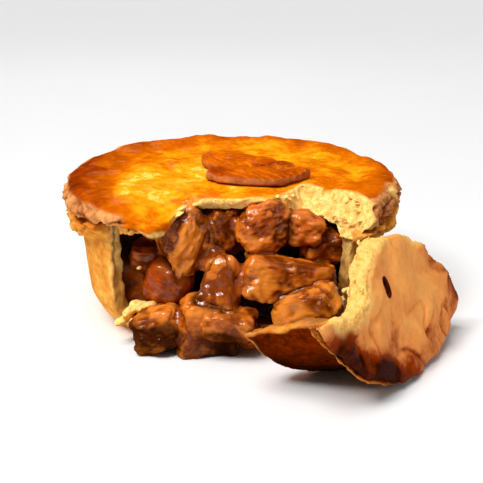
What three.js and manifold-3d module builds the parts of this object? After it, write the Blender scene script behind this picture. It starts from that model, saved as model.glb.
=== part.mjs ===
// A deep round steak and kidney pie, broken open at the front so that its filling spills out.
// The piece of crust that came off the front stands beside the opening, tipped onto its rim.
// Millimetres, +Z up. The pie's axis is Z, it stands on Z = 0, and the broken side faces -Y.

import * as THREE from "three";
import { mergeVertices } from "three/addons/utils/BufferGeometryUtils.js";
import Module from "manifold-3d";

const wasm = await Module();
wasm.setup();

// Driving dimensions of the pie
const RIM_RADIUS = 60; // widest point of the crimped edge
const PIE_HEIGHT = 49.5; // table to the middle of the lid
const SEAM_Z = 40; // where the lid's edge sits on the case's lip
const LIP_Z = 32.3; // underside of the case's lip
const WALL_RADIUS = 53.5; // outside of the wall just under the lip
const FOOT_RADIUS = 52; // outside of the wall above the rounded foot
const FOOT_ROUND = 16;
const CRUST = 5; // thickness of the wall and floor
const LID_CRUST = 4; // thickness of the lid inside its rim
const GAP = 0.35; // between pieces that touch
const STEAM_HOLE = { at: [-15.5, 33], radius: 1.5 };

// Driving dimensions of the piece that came off, which is an arc of the same crust
const PIECE_RIM = 57.8;
const PIECE_LID_EDGE = 5.2; // height of its rim's upper half
const PIECE_LIP = 4.2; // height of its rim's lower half
const PIECE_FACING = 58.5; // degrees that its face is turned from the front to the right
const PIECE_LEAN = 21; // degrees that its face is tipped up
const PIECE_MIDDLE = [43.5, -48, 55.5]; // middle of its rim's circle
const PIECE_SLIT = { at: [-13.5, -27], radius: 1, length: 6.4, turn: 14 };

const DEG = Math.PI / 180;
const { clamp, lerp, smoothstep } = THREE.MathUtils;
const smooth = (t) => smoothstep(t, 0, 1);
const bump = (t) => smooth(1 - Math.abs(t)); // 1 at t = 0, and 0 from t = 1 on

// ---- Unevenness: smooth noise from -1 to 1, the same on every run ----

function lattice(i, j, k) {
  const n = Math.sin(i * 127.1 + j * 311.7 + k * 74.7) * 43758.5453;
  return 2 * (n - Math.floor(n)) - 1;
}

function noise(x, y, z) {
  const [i, j, k] = [x, y, z].map(Math.floor);
  const [u, v, w] = [smooth(x - i), smooth(y - j), smooth(z - k)];
  const row = (b, c) => lerp(lattice(i, j + b, k + c), lattice(i + 1, j + b, k + c), u);
  const face = (c) => lerp(row(0, c), row(1, c), v);
  return lerp(face(0), face(1), w);
}

// ---- From geometry to solids and back ----

function solid(geometry) {
  const bare = new THREE.BufferGeometry();
  bare.setAttribute("position", geometry.getAttribute("position"));
  bare.setIndex(geometry.index);
  const merged = mergeVertices(bare, 1e-4);
  const vertProperties = new Float32Array(merged.getAttribute("position").array);
  const triVerts = new Uint32Array(merged.index.array);
  return new wasm.Manifold(new wasm.Mesh({ numProp: 3, vertProperties, triVerts }));
}

// A cut can leave loose scraps beside the piece: only the body with the most triangles is kept.
function mainBody(triVerts) {
  const parent = new Map();
  const root = (v) => {
    let top = v;
    while (parent.has(top)) top = parent.get(top);
    return top;
  };
  for (let t = 0; t < triVerts.length; t += 3) {
    for (const other of [triVerts[t + 1], triVerts[t + 2]]) {
      const [a, b] = [root(triVerts[t]), root(other)];
      if (a !== b) parent.set(b, a);
    }
  }
  const bodies = new Map();
  for (let t = 0; t < triVerts.length; t += 3) {
    const key = root(triVerts[t]);
    if (!bodies.has(key)) bodies.set(key, []);
    bodies.get(key).push(...triVerts.subarray(t, t + 3));
  }
  return [...bodies.values()].reduce((a, b) => (b.length > a.length ? b : a));
}

function mesh(name, made, material) {
  const { vertProperties, triVerts } = made.getMesh();
  const geometry = new THREE.BufferGeometry();
  geometry.setAttribute("position", new THREE.BufferAttribute(new Float32Array(vertProperties), 3));
  geometry.setIndex(mainBody(triVerts));
  const node = new THREE.Mesh(mergeVertices(geometry, 1e-5), material);
  node.name = name;
  return node;
}

function move(geometry, shift) {
  const p = geometry.getAttribute("position");
  for (let i = 0; i < p.count; i++) p.setXYZ(i, ...shift(p.getX(i), p.getY(i), p.getZ(i)));
  return geometry;
}

// ---- Profiles turned round the Z axis ----

function turned(profile, segments) {
  const points = profile.map(([r, z]) => new THREE.Vector2(r, z));
  return new THREE.LatheGeometry(points, segments).rotateX(Math.PI / 2);
}

function arc(centreR, centreZ, radius, from, to, steps) {
  return Array.from({ length: steps + 1 }, (_, i) => {
    const a = lerp(from, to, i / steps) * DEG;
    return [centreR + radius * Math.cos(a), centreZ + radius * Math.sin(a)];
  });
}

const inward = (from, steps, z) => Array.from({ length: steps }, (_, i) => [from * (1 - i / steps), z]);

const WALL_INSIDE = WALL_RADIUS - CRUST;
const FOOT_CENTRE = FOOT_RADIUS - FOOT_ROUND;

const CASE_PROFILE = [
  [0, 0],
  ...arc(FOOT_CENTRE, FOOT_ROUND, FOOT_ROUND, -90, 0, 5),
  [WALL_RADIUS, LIP_Z - 0.8],
  [56.5, LIP_Z],
  [RIM_RADIUS - 1.2, LIP_Z + 2],
  [RIM_RADIUS - 0.3, LIP_Z + 5],
  [RIM_RADIUS - 1.4, SEAM_Z - GAP],
  [WALL_INSIDE, SEAM_Z - GAP],
  [WALL_INSIDE - 0.8, 22],
  ...arc(FOOT_CENTRE, FOOT_ROUND, FOOT_ROUND - CRUST, 0, -90, 3),
  [0, CRUST],
];

const LID_PROFILE = [
  [0, PIE_HEIGHT - LID_CRUST],
  [36, PIE_HEIGHT - LID_CRUST],
  [45.5, PIE_HEIGHT - LID_CRUST - 0.8],
  [WALL_INSIDE + 0.5, SEAM_Z],
  [RIM_RADIUS - 1.4, SEAM_Z],
  [RIM_RADIUS, SEAM_Z + 2.6],
  [RIM_RADIUS - 0.4, SEAM_Z + 5.6],
  [RIM_RADIUS - 1.9, SEAM_Z + 7.9],
  [RIM_RADIUS - 5, SEAM_Z + 9.2],
  ...inward(50, 8, PIE_HEIGHT),
  [0, PIE_HEIGHT],
];

const FILLING_PROFILE = [
  [0, CRUST + GAP],
  ...arc(FOOT_CENTRE, FOOT_ROUND, FOOT_ROUND - CRUST - GAP, -90, 0, 3),
  [WALL_INSIDE - 0.8 - GAP, 22],
  [WALL_INSIDE - GAP, SEAM_Z - 1.5],
  [44.5, PIE_HEIGHT - LID_CRUST - 1.6],
  [36, PIE_HEIGHT - LID_CRUST - GAP],
  [0, PIE_HEIGHT - LID_CRUST - GAP],
];

// The baked rim isn't quite round: [degrees from +X, share of the radius].
const RIM_PLAN = [[-180, 0.985], [-150, 1], [-60, 1], [-35, 0.98], [-5, 0.957], [25, 0.968], [50, 1.04], [70, 1.02],
  [90, 1], [110, 1.02], [133, 1.055], [155, 1.02], [180, 0.985]];

function planShare(x, y) {
  const angle = Math.atan2(y, x) / DEG;
  const i = RIM_PLAN.findIndex(([a]) => a >= angle);
  if (i <= 0) return RIM_PLAN[0][1];
  const [[a0, s0], [a1, s1]] = [RIM_PLAN[i - 1], RIM_PLAN[i]];
  return lerp(s0, s1, smooth((angle - a0) / (a1 - a0)));
}

// The lid dips inside its rim, rises at the back, and sags towards the opening.
function lidRelief(x, y) {
  const r = Math.hypot(x, y);
  const dip = -1.1 * bump((r - 40) / 12);
  const waves = 0.9 * noise(x / 17, y / 17, 3) + 0.5 * noise(x / 7.5, y / 7.5, 8);
  const back = 0.9 * smooth((y - 25) / 25);
  const sag = -1.6 * smooth((-24 - y) / 26);
  return dip + waves * smooth((57 - r) / 6) + back + sag;
}

// The rim is thinner beside the opening: the lip's underside rises there towards the seam, and at
// the left end the seam itself rises.
function rimLift(x, y, z) {
  const angle = Math.atan2(y, x) / DEG;
  const thinned = 0.85 * bump((angle + 122) / 42) + 0.5 * bump((angle + 45) / 35);
  const lip = thinned * Math.max(0, SEAM_Z - GAP - z) * smooth((z - 22) / 8);
  const seam = 3 * bump((angle + 124) / 40) * smooth((z - 26) / 10) * smooth((48 - z) / 6);
  return lip + seam;
}

function settled(x, y, z) {
  const share = lerp(1, planShare(x, y), smooth(z / FOOT_ROUND));
  const lid = lidRelief(x, y) * clamp((z - SEAM_Z) / 4, 0, 1);
  return [x * share, y * share, z + lid + rimLift(x, y, z)];
}

// The crimped edge is rough: it bulges and dips outside the radius where the wall starts.
function crimped(depth, from) {
  return (x, y, z) => {
    const r = Math.max(1, Math.hypot(x, y));
    const bulge = noise(x / 5, y / 5, z / 3.5) + 0.6 * noise(x / 11, y / 11, z / 9);
    const k = 1 + (smooth((r - from) / 4) * depth * bulge) / r;
    return [x * k, y * k, z];
  };
}

const crust = (profile, segments, depth) =>
  move(move(turned(profile, segments), crimped(depth, WALL_RADIUS + 1)), settled);

// ---- Broken faces ----

// Straight runs between plan points [x, y], given from left to right.
function runOf(points) {
  return (x) => {
    const i = Math.max(1, points.findIndex((p) => p[0] > x));
    const [[x0, y0], [x1, y1]] = [points[i - 1], points[i]];
    return lerp(y0, y1, (x - x0) / (x1 - x0));
  };
}

// A block from the face y = faceY(x, z) to far in front of it, or far behind it.
function blockTo(farY, faceY, { columns, layers, low = -4, high = 58, width = 150 }) {
  const block = new THREE.BoxGeometry(width, 1, high - low, columns, 1, layers);
  const facing = farY < 0 ? 1 : -1;
  return move(block, (x, y, z) => {
    const up = z + (high + low) / 2;
    return [x, y * facing > 0 ? faceY(x, up) : farY, up];
  });
}

const crumbly = (x, z) => noise(x / 2.6, z / 2.4, 5) + 0.8 * noise(x / 6, z / 5, 9);

// The lid's glazed top is torn further back than its underside on the right.
const LID_TOP_EDGE = runOf([[-90, -78], [-37, -47], [-33, -45], [-29, -46.5], [-25, -48.5], [-19, -43], [-15, -37],
  [-10, -34.5], [3, -35], [13, -34.5], [16.5, -27], [21, -18.5], [28, -19], [37, -25], [43, -36], [90, -78]]);
const LID_UNDER_EDGE = runOf([[-90, -79], [-37, -48], [-31, -45], [-25, -47.5], [-19, -41], [-15, -32],
  [-10, -28], [13, -28], [19, -31], [28, -34.5], [35, -38.5], [42, -43], [90, -80]]);

function lidBreak(x, z) {
  const up = clamp((z - SEAM_Z) / (PIE_HEIGHT - SEAM_Z - 1), 0, 1);
  return lerp(LID_UNDER_EDGE(x), LID_TOP_EDGE(x), up) + crumbly(x, z);
}

// The case is broken through the wall on both sides and across the floor between them.
const CASE_EDGE = runOf([[-90, -76], [-41, -36.5], [-36, -31], [-30, -29], [-12, -30.5], [8, -29], [26, -28.5],
  [33, -32], [37.5, -38], [42, -43.5], [90, -82]]);
const caseBreak = (x, z) => CASE_EDGE(x) + 0.9 * crumbly(x + 17, z);

// The gravy's open face sags forward at the floor and falls away under the lid at both ends.
function fillingFace(x, z) {
  const foot = -2.5 * smooth((14 - z) / 14);
  const hollows = 9 * smooth((z - 27) / 12) * (bump((x + 31) / 15) + 0.8 * bump((x - 31) / 12));
  return -25 + foot + hollows + 2.2 * noise(x / 8, z / 8, 2);
}

// A tongue of lid beside the left end of the rim droops into the opening.
const drooped = (x, y, z) => [x, y, z - 5 * smooth((-33 - y) / 14) * bump((x + 25) / 11)];

// ---- Lumps of steak and kidney ----

const STEAK = { boxy: 0.62, rough: 0.1, grain: 0.55 };
const KIDNEY = { boxy: 0.25, rough: 0.16, grain: 0.8 };

// Middle, size before turning, turn in degrees, taper towards the top, and facets along a side.
// The lobes of a lump are smaller blocks that are grown together with it.
const LUMPS = {
  steak_front_low: {
    at: [-7.5, -42, 9.4], size: [18, 13, 17.5], turn: [4, 8, 12], seed: 1, sides: 4,
    lobes: [
      { at: [-12.8, -44, 8.6], size: [9.5, 11, 18], turn: [6, 10, 20], seed: 21, sides: 3 },
      { at: [-1.6, -47, 11.6], size: [16, 11, 8.5], turn: [8, 6, -8], seed: 22, sides: 4 },
    ],
  },
  steak_front_peak: { at: [-4.2, -41, 24], size: [14, 12, 17], turn: [-10, 8, -14], seed: 2, sides: 5, taper: 0.4 },
  steak_middle_long: { at: [17.3, -38, 22.6], size: [30, 15, 14], turn: [-14, 9, 8], seed: 3, sides: 5 },
  steak_upper_left: { at: [-16.4, -31, 35.3], size: [15.5, 15, 21], turn: [10, -16, 18], seed: 4, sides: 5 },
  steak_upper_mid: { at: [-3.8, -28.5, 36.8], size: [12.5, 12, 14.5], turn: [0, 12, 30], seed: 5, sides: 4 },
  kidney_upper: { at: [9.3, -31.5, 38.6], size: [16.5, 12, 15], turn: [0, -18, 12], seed: 6, sides: 5 },
  steak_upper_right: { at: [22, -29.5, 38], size: [13, 12, 9], turn: [0, 14, -8], seed: 7, sides: 4 },
  steak_right: { at: [28.5, -26.5, 30], size: [13, 12, 10], turn: [14, -10, 20], seed: 8, sides: 3 },
  kidney_left: { at: [-21.5, -31.5, 19.5], size: [13.5, 12, 13.5], turn: [0, 20, -20], seed: 9, sides: 4 },
  steak_left_small: { at: [-30.2, -26.5, 27], size: [8.5, 9, 9.5], turn: [20, 10, 0], seed: 10, sides: 3 },
  steak_spilled_left: { at: [-24.4, -40.5, 7], size: [16, 14, 12.5], turn: [-8, -20, -16], seed: 11, sides: 4 },
  kidney_spilled: { at: [4.6, -44.5, 7.2], size: [8, 8.5, 9.5], turn: [0, 12, 40], seed: 12, sides: 3 },
  steak_by_crust: { at: [23.5, -47.5, 15.5], size: [20, 12, 14], turn: [-6, -22, -26], seed: 13, sides: 4 },
};
const kindOf = (name) => (name.startsWith("kidney") ? KIDNEY : STEAK);

// A rounded block, pushed in and out by noise. grow makes the larger copy that cuts its bed.
function lump({ at, size, turn, seed, sides, taper = 0 }, kind, grow) {
  const half = new THREE.Vector3(...size).multiplyScalar(0.5).addScalar(grow);
  const turning = new THREE.Euler(...turn.map((a) => a * DEG));
  return move(new THREE.BoxGeometry(2, 2, 2, sides, sides, sides), (x, y, z) => {
    const p = new THREE.Vector3(x, y, z);
    p.lerp(p.clone().normalize().multiplyScalar(1.12), 1 - kind.boxy);
    p.multiplyScalar(1 + kind.rough * (noise(x / kind.grain + seed, y / kind.grain, z / kind.grain) + 0.2));
    const narrow = 1 - taper * (z + 1) / 2;
    p.multiply(new THREE.Vector3(narrow, narrow, 1)).multiply(half).applyEuler(turning);
    return [p.x + at[0], p.y + at[1], p.z + at[2]];
  });
}

function lumpSolid({ lobes = [], ...form }, kind, grow) {
  return lobes.reduce((whole, lobe) => whole.add(solid(lump(lobe, kind, grow))), solid(lump(form, kind, grow)));
}

const table = solid(new THREE.BoxGeometry(300, 300, 40).translate(0, 0, -20));

// Each lump gives way to the ones listed before it.
function placedLumps() {
  const placed = [];
  let beds = table;
  for (const [name, form] of Object.entries(LUMPS)) {
    placed.push([name, lumpSolid(form, kindOf(name), 0).subtract(beds)]);
    beds = beds.add(lumpSolid(form, kindOf(name), GAP));
  }
  return { placed, beds };
}

// ---- The pie's crust and gravy ----

function steamHole() {
  const [x, y] = STEAM_HOLE.at;
  const drill = new THREE.CylinderGeometry(STEAM_HOLE.radius, STEAM_HOLE.radius, 9, 10);
  return solid(drill.rotateX(Math.PI / 2).translate(x, y, PIE_HEIGHT + 1));
}

function pieLid(beds) {
  const blank = solid(move(crust(LID_PROFILE, 70, 1.3), drooped));
  const front = solid(blockTo(-130, lidBreak, { columns: 60, layers: 13 }));
  return blank.subtract(front).subtract(steamHole()).subtract(beds);
}

function pieCase(beds) {
  const front = solid(blockTo(-130, caseBreak, { columns: 60, layers: 16 }));
  return solid(crust(CASE_PROFILE, 62, 1.2)).subtract(front).subtract(beds);
}

function gravy(beds) {
  const front = solid(blockTo(-130, fillingFace, { columns: 26, layers: 8 }));
  return solid(crust(FILLING_PROFILE, 32, 0)).subtract(front).subtract(beds);
}

// ---- The piece of crust that came off: its face is Z = 0 and its rim is at the bottom, -Y ----

const PIECE_INSIDE = PIECE_RIM - 11;
const PIECE_SEAM = -PIECE_LID_EDGE;

const PIECE_LID_PROFILE = [
  [0, -CRUST],
  [PIECE_INSIDE - 4, -CRUST],
  [PIECE_INSIDE, PIECE_SEAM],
  [PIECE_RIM - 0.8, PIECE_SEAM],
  [PIECE_RIM, PIECE_SEAM + 1.8],
  [PIECE_RIM - 1, PIECE_SEAM + 3.6],
  [PIECE_RIM - 2.8, -0.5],
  ...inward(50, 9, 0),
  [0, 0],
];

const PIECE_WALL_PROFILE = [
  [PIECE_INSIDE, PIECE_SEAM - GAP],
  [PIECE_INSIDE - 1.5, -40],
  [PIECE_INSIDE + 3, -40],
  [PIECE_INSIDE + 4.4, -28],
  [PIECE_INSIDE + 5, PIECE_SEAM - PIECE_LIP],
  [PIECE_RIM - 1.4, PIECE_SEAM - PIECE_LIP + 0.7],
  [PIECE_RIM - 0.2, PIECE_SEAM - PIECE_LIP / 2],
  [PIECE_RIM - 0.8, PIECE_SEAM - GAP],
  [PIECE_INSIDE, PIECE_SEAM - GAP],
];

const PIECE_EDGE = runOf([[-90, -20], [-50, -25], [-45, -27], [-31, -28], [-23, -24], [-20, -19], [-15, -16],
  [-7, -13.7], [11, -17], [22, -25], [32, -34.7], [37, -40], [43, -50], [90, -120]]);
const PIECE_WALL_END = runOf([[-90, -35], [-44, -34], [-20, -32], [-4, -24], [14, -14], [90, -11]]);

// Its crumb shows: the underside reaches further than the glazed face.
function pieceBreak(x, z) {
  const under = clamp(z / PIECE_SEAM, 0, 1);
  return PIECE_EDGE(x + 6 * under) + 1.5 * under + crumbly(x + 40, z);
}

// All that lies further from the face than where the wall is broken off.
function beyondWallEnd() {
  const block = new THREE.BoxGeometry(150, 150, 1, 50, 30, 1);
  return move(block, (x, y, z) => [x, y, z > 0 ? PIECE_WALL_END(x) + 1.5 * noise(x / 4, y / 3, 31) : -80]);
}

// Its rim spreads wider towards the right, and the lip thins out towards the left.
function spread(x, y, z) {
  const share = 1 + 0.065 * smooth((x - 5) / 30);
  const lip = z < PIECE_SEAM - GAP && z > -12 ? 0.7 * smooth((-24 - x) / 20) : 0;
  return [x * share, y * share, lerp(z, PIECE_SEAM - GAP, lip)];
}

// Baked folds run from the rim towards the middle, over soft waves.
function wrinkled(x, y, z) {
  const r = Math.hypot(x, y);
  const high = clamp(1 + z / 4, 0, 1);
  const folds = Math.sin(17 * Math.atan2(y, x) + 3 * noise(x / 9, y / 9, 1));
  const onFold = smooth((r - 30) / 16) * smooth((PIECE_RIM - 2 - r) / 4);
  const waves = noise(x / 10, y / 10, 21) + 0.6 * noise(x / 5, y / 5, 27);
  return [x, y, z + high * (0.5 * folds * onFold + waves - 1.4 * smooth((r - 40) / 16))];
}

function slitCutter() {
  const { at, radius, length, turn } = PIECE_SLIT;
  const pin = new THREE.CylinderGeometry(radius, radius, 3 * CRUST, 10).rotateX(Math.PI / 2);
  return pin.scale(1, length / 2 / radius, 1).rotateZ(turn * DEG).translate(at[0], at[1], -CRUST / 2);
}

// Its place: face outward to the right, leaning back on the opening.
function tipped() {
  const [facing, lean] = [PIECE_FACING * DEG, PIECE_LEAN * DEG];
  const across = new THREE.Vector3(Math.cos(facing), Math.sin(facing), 0);
  const outward = new THREE.Vector3(Math.sin(facing), -Math.cos(facing), 0)
    .multiplyScalar(Math.cos(lean))
    .setZ(Math.sin(lean));
  const place = new THREE.Matrix4().makeBasis(across, outward.clone().cross(across), outward);
  return place.setPosition(...PIECE_MIDDLE);
}

function pieceParts(beds) {
  const place = tipped();
  const away = blockTo(130, pieceBreak, { columns: 50, layers: 12, low: -50, high: 12 });
  const whole = {
    piece_lid: move(turned(PIECE_LID_PROFILE, 76), wrinkled),
    piece_wall: turned(PIECE_WALL_PROFILE, 76),
  };
  const cutters = [away, beyondWallEnd(), slitCutter()].map((cutter) => solid(cutter.applyMatrix4(place)));
  return Object.entries(whole).map(([name, form]) => {
    move(move(form, crimped(0.8, PIECE_RIM - 5)), spread).applyMatrix4(place);
    return [name, cutters.reduce((rest, cutter) => rest.subtract(cutter), solid(form)).subtract(beds)];
  });
}

// ---- Pastry leaves on the lid ----

const LEAF = { length: 35, width: 19, thick: 3.4 };
const LEAVES = {
  leaf_front: { at: [8, -13.5], turn: 8 },
  leaf_back: { at: [4.5, 4.5], turn: -24 },
};

// A pointed oval that follows the lid, with a pressed midrib and scored side veins.
function leaf({ at, turn }, grow) {
  const block = new THREE.BoxGeometry(2, 2, 1, 12, 6, 1);
  move(block, (x, y, z) => {
    const half = (LEAF.width / 2) * Math.sin(Math.PI * ((x + 1) / 2) ** 0.85) ** 0.8 + 0.5;
    const veins = 0.4 * Math.cos((x * 8 - Math.abs(y) * 3) * 1.6) - 0.9 * bump(y / 0.3);
    const top = LEAF.thick + veins - 1.1 * y ** 4 + grow;
    return [(x * LEAF.length) / 2 + Math.sign(x) * grow, y * (half + grow), z > 0 ? top : -grow];
  });
  block.rotateZ(turn * DEG).translate(at[0], at[1], PIE_HEIGHT + GAP + 0.1);
  return move(block, (x, y, z) => [x, y, z + lidRelief(x, y)]);
}

// ---- Materials ----

const paint = (color, roughness) => new THREE.MeshStandardMaterial({ color, roughness, metalness: 0 });
const GLAZED_CRUST = paint(0xd8801c, 0.4);
const BAKED_WALL = paint(0xd9963f, 0.65);
const DARK_GLAZE = paint(0xc2600f, 0.35);
const PALE_CRUST = paint(0xd9a468, 0.6);
const GRAVY = paint(0x7a3a12, 0.25);
const STEAK_BROWN = paint(0x8c4a1c, 0.3);
const KIDNEY_BROWN = paint(0x7d3714, 0.3);

// ---- Assembly ----

const pie = new THREE.Group();
const { placed, beds } = placedLumps();

pie.add(mesh("pie_case", pieCase(beds), BAKED_WALL));
pie.add(mesh("pie_lid", pieLid(beds), GLAZED_CRUST));
pie.add(mesh("gravy_filling", gravy(beds), GRAVY));
for (const [name, made] of placed) {
  pie.add(mesh(name, made, name.startsWith("kidney") ? KIDNEY_BROWN : STEAK_BROWN));
}

const frontLeaf = solid(leaf(LEAVES.leaf_front, 0));
const backLeaf = solid(leaf(LEAVES.leaf_back, 0)).subtract(solid(leaf(LEAVES.leaf_front, GAP)));
pie.add(mesh("leaf_front", frontLeaf, DARK_GLAZE));
pie.add(mesh("leaf_back", backLeaf, DARK_GLAZE));

for (const [name, made] of pieceParts(beds)) {
  pie.add(mesh(name, made, name === "piece_lid" ? PALE_CRUST : BAKED_WALL));
}

export default pie;
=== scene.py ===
"""A deep steak and kidney pie, broken open at the front, with the crust that came off beside it."""

import math
from collections import namedtuple

import bmesh
import bpy
import numpy as np
from bpy.props import FloatProperty, FloatVectorProperty, IntProperty, PointerProperty
from mathutils import Euler, Matrix, Vector
from mathutils.bvhtree import BVHTree


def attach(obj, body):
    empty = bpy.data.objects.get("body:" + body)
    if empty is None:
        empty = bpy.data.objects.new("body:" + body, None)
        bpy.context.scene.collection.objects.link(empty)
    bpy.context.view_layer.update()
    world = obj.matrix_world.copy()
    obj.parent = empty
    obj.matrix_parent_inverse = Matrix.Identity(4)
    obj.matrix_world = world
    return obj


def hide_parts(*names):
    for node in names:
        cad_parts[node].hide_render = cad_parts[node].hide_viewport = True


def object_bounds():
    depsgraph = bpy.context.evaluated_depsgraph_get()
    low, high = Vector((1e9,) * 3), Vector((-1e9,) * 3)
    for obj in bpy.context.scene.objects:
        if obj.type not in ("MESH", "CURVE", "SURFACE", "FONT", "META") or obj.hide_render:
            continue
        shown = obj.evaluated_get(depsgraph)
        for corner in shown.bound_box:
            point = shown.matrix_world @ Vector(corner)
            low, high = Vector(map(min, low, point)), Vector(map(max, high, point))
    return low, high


bl_info = {
    "name": "Steak and Kidney Pie",
    "version": (1, 0, 0),
    "blender": (4, 5, 0),
    "location": "3D View > Sidebar > Pie",
    "description": "Bakes a broken-open pie: glazed crust, crumb, gravy and lumps of meat",
    "category": "Add Mesh",
}

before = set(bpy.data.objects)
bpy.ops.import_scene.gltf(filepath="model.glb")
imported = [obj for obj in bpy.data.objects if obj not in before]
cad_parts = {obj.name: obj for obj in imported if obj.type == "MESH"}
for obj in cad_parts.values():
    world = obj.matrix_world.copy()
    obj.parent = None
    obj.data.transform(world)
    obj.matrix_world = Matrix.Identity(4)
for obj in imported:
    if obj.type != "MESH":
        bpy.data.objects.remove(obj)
CAD_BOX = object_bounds()
BODY = "root"
MM = 0.001

# The pie's own measures, in millimetres, with its axis on Z
PIE_HEIGHT = 49.5
RIM_INSIDE = 54.0  # where the lid's rough edge starts
WALL_RADIUS = 53.5
# Between LID_LIP_Z and CASE_LIP_Z the lid's lip and the case's lip are painted dark: a painted shadow along
# their seam.
LID_LIP_Z = 41.6  # between this height and the next, the lid's lip and the case's lip are dark
CASE_LIP_Z = 38.6
BROKEN_WITHIN = {"pie_case": 48.0, "pie_lid": 56.0}  # every forward face inside this radius is a broken one
CRUMB_DROP = 3.6  # how far the lid's crumb hangs into the opening on the right

# Place of the piece that came off: the middle of its rim's circle, how its face is turned, and its slit
PIECE_MIDDLE = (43.5, -48.0, 55.5)
PIECE_FACING = math.radians(58.5)
PIECE_LEAN = math.radians(21.0)
PIECE_SLIT = (-13.5, -27.0)
PIECE_SLIT_TURN = math.radians(14.0)
PIECE_SLIT_HALF = (2.1, 3.4)  # half its width and half its length

# Plan of the torn edge of the lid's glazed top, from left to right
LID_TOP_EDGE = np.array([
    (-90, -78), (-37, -47), (-33, -45), (-29, -46.5), (-25, -48.5), (-19, -43), (-15, -37), (-10, -34.5),
    (3, -35), (13, -34.5), (16.5, -27), (21, -18.5), (28, -19), (37, -25), (43, -36), (90, -78),
])
CRUMB_FROM_X = -35.0  # the torn edge shows its crumb from here to the right
TONGUE_TO_X = -17.0  # the lid's left end, up to here, droops into the opening and is glazed over its edge
SLANT_FROM_X = 11.0  # from here to the right the lid is torn at a slant, and its crumb hangs down
FLAKES_TO_X = 40.0  # flakes stand only to the left of this, and above the next
FLAKES_FROM_Z = 32.0

# The turn of each lump's grain in degrees, then how light, how red and how rough it is
Lump = namedtuple("Lump", "turn light red rough")
LUMPS = {
    "steak_front_low": Lump((6, 14, 24), 0.42, 0.25, 0.55),
    "steak_front_peak": Lump((-10, 80, 76), 0.7, 0.3, 0.6),
    "steak_middle_long": Lump((-14, 9, -6), 0.62, 0.35, 0.8),
    "steak_upper_left": Lump((10, -56, 30), 0.7, 0.1, 1.1),
    "steak_upper_mid": Lump((0, 52, 30), 0.1, 0.2, 0.9),
    "kidney_upper": Lump((0, -18, 12), 0.6, 0.55, 1.1),
    "steak_upper_right": Lump((0, 14, -8), 0.1, 0.6, 1.5),
    "steak_right": Lump((14, -10, 20), 0.4, 0.4, 0.8),
    "kidney_left": Lump((0, 20, -20), 0.5, 1.0, 0.3),
    "steak_left_small": Lump((20, 10, 0), 0.3, 0.4, 0.8),
    "steak_spilled_left": Lump((-8, -20, -16), 0.6, 0.3, 1.0),
    "kidney_spilled": Lump((0, 12, 40), 0.2, 0.3, 0.8),
    "steak_by_crust": Lump((-6, -22, -26), 1.25, 0.15, 0.45),
}

# The photograph's camera: its frame in pixels, and the pixel where the aim point lies
PHOTO_SIZE = 483
AIM_PIXEL = (234.5, 238.0)
FOCAL_PIXELS = 1016.8
AIM = Vector((0.0, 0.0, 0.025))
CAMERA_DISTANCE = 0.36
CAMERA_ELEVATION = math.radians(17.5)
SENSOR = 36.0


# ---- settings


def srgb(red, green, blue):
    """A colour given as 0 to 255, in Blender's linear values."""
    shares = [c / 255 for c in (red, green, blue)]
    return tuple(c / 12.92 if c <= 0.04045 else ((c + 0.055) / 1.055) ** 2.4 for c in shares)


def colour(name, description, default):
    return FloatVectorProperty(
        name=name, description=description, default=default, subtype="COLOR", size=3, min=0, max=1
    )


def length(name, description, default):
    return FloatProperty(name=name, description=description, default=default * MM, unit="LENGTH", min=0)


def strength(name, description, default):
    return FloatProperty(name=name, description=description, default=default, min=0)


class PieCrustSettings(bpy.types.PropertyGroup):
    """Colours and roughness of the pastry"""

    gold: colour("Gold", "Egg-washed pastry where it is palest", srgb(253, 170, 16))
    # Pale gold is partly where the wash ran thin and partly painted highlight, standing in for the lid's
    # brightest patches.
    thin_wash_and_sheen: colour("Pale gold", "Egg-washed pastry where the wash ran thin", srgb(255, 205, 88))
    orange: colour("Orange", "Egg-washed pastry baked a little longer", srgb(216, 104, 0))
    brown: colour("Brown", "Egg-washed pastry where it is darkest", srgb(150, 52, 0))
    side: colour("Side", "Dry pastry on the rim", srgb(246, 168, 100))
    # The side shade is also painted shade: in the rims' crags, along the seam under the lid's lip and at
    # the leaves' foot.
    side_dark: colour("Side shade", "Dry pastry in the rim's folds", srgb(140, 74, 32))
    wall: colour("Wall", "Outside of the pie's wall", srgb(252, 184, 84))
    # The wall shade is also painted shade in the case's crags and on its lip under the lid.
    wall_dark: colour("Wall shade", "Darker bakes on the wall", srgb(210, 124, 40))
    wall_brown: colour("Brown wall", "Wall of the piece that came off, at its top", srgb(150, 50, 0))
    # The dark wall is partly the piece's wall tone and partly painted shade towards the table.
    wall_black: colour("Dark wall", "Wall of the piece that came off, near the table", srgb(44, 12, 0))
    crumb: colour("Crumb", "Pastry inside, where it is broken", srgb(255, 218, 130))
    # The crumb shade is also painted shade in the pores and on the flakes' and crumbs' under sides.
    crumb_dark: colour("Crumb shade", "Pores and thin edges of the broken pastry", srgb(232, 152, 56))
    soaked: colour("Soaked", "Pastry soaked with gravy", srgb(112, 74, 34))
    peach: colour("Peach", "Face of the piece that came off", srgb(247, 166, 86))
    crag: length("Crag depth", "Depth of the rim's crags", 1.25)
    crumb_depth: length("Crumb depth", "Depth of the broken faces' crumb", 0.6)


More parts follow.
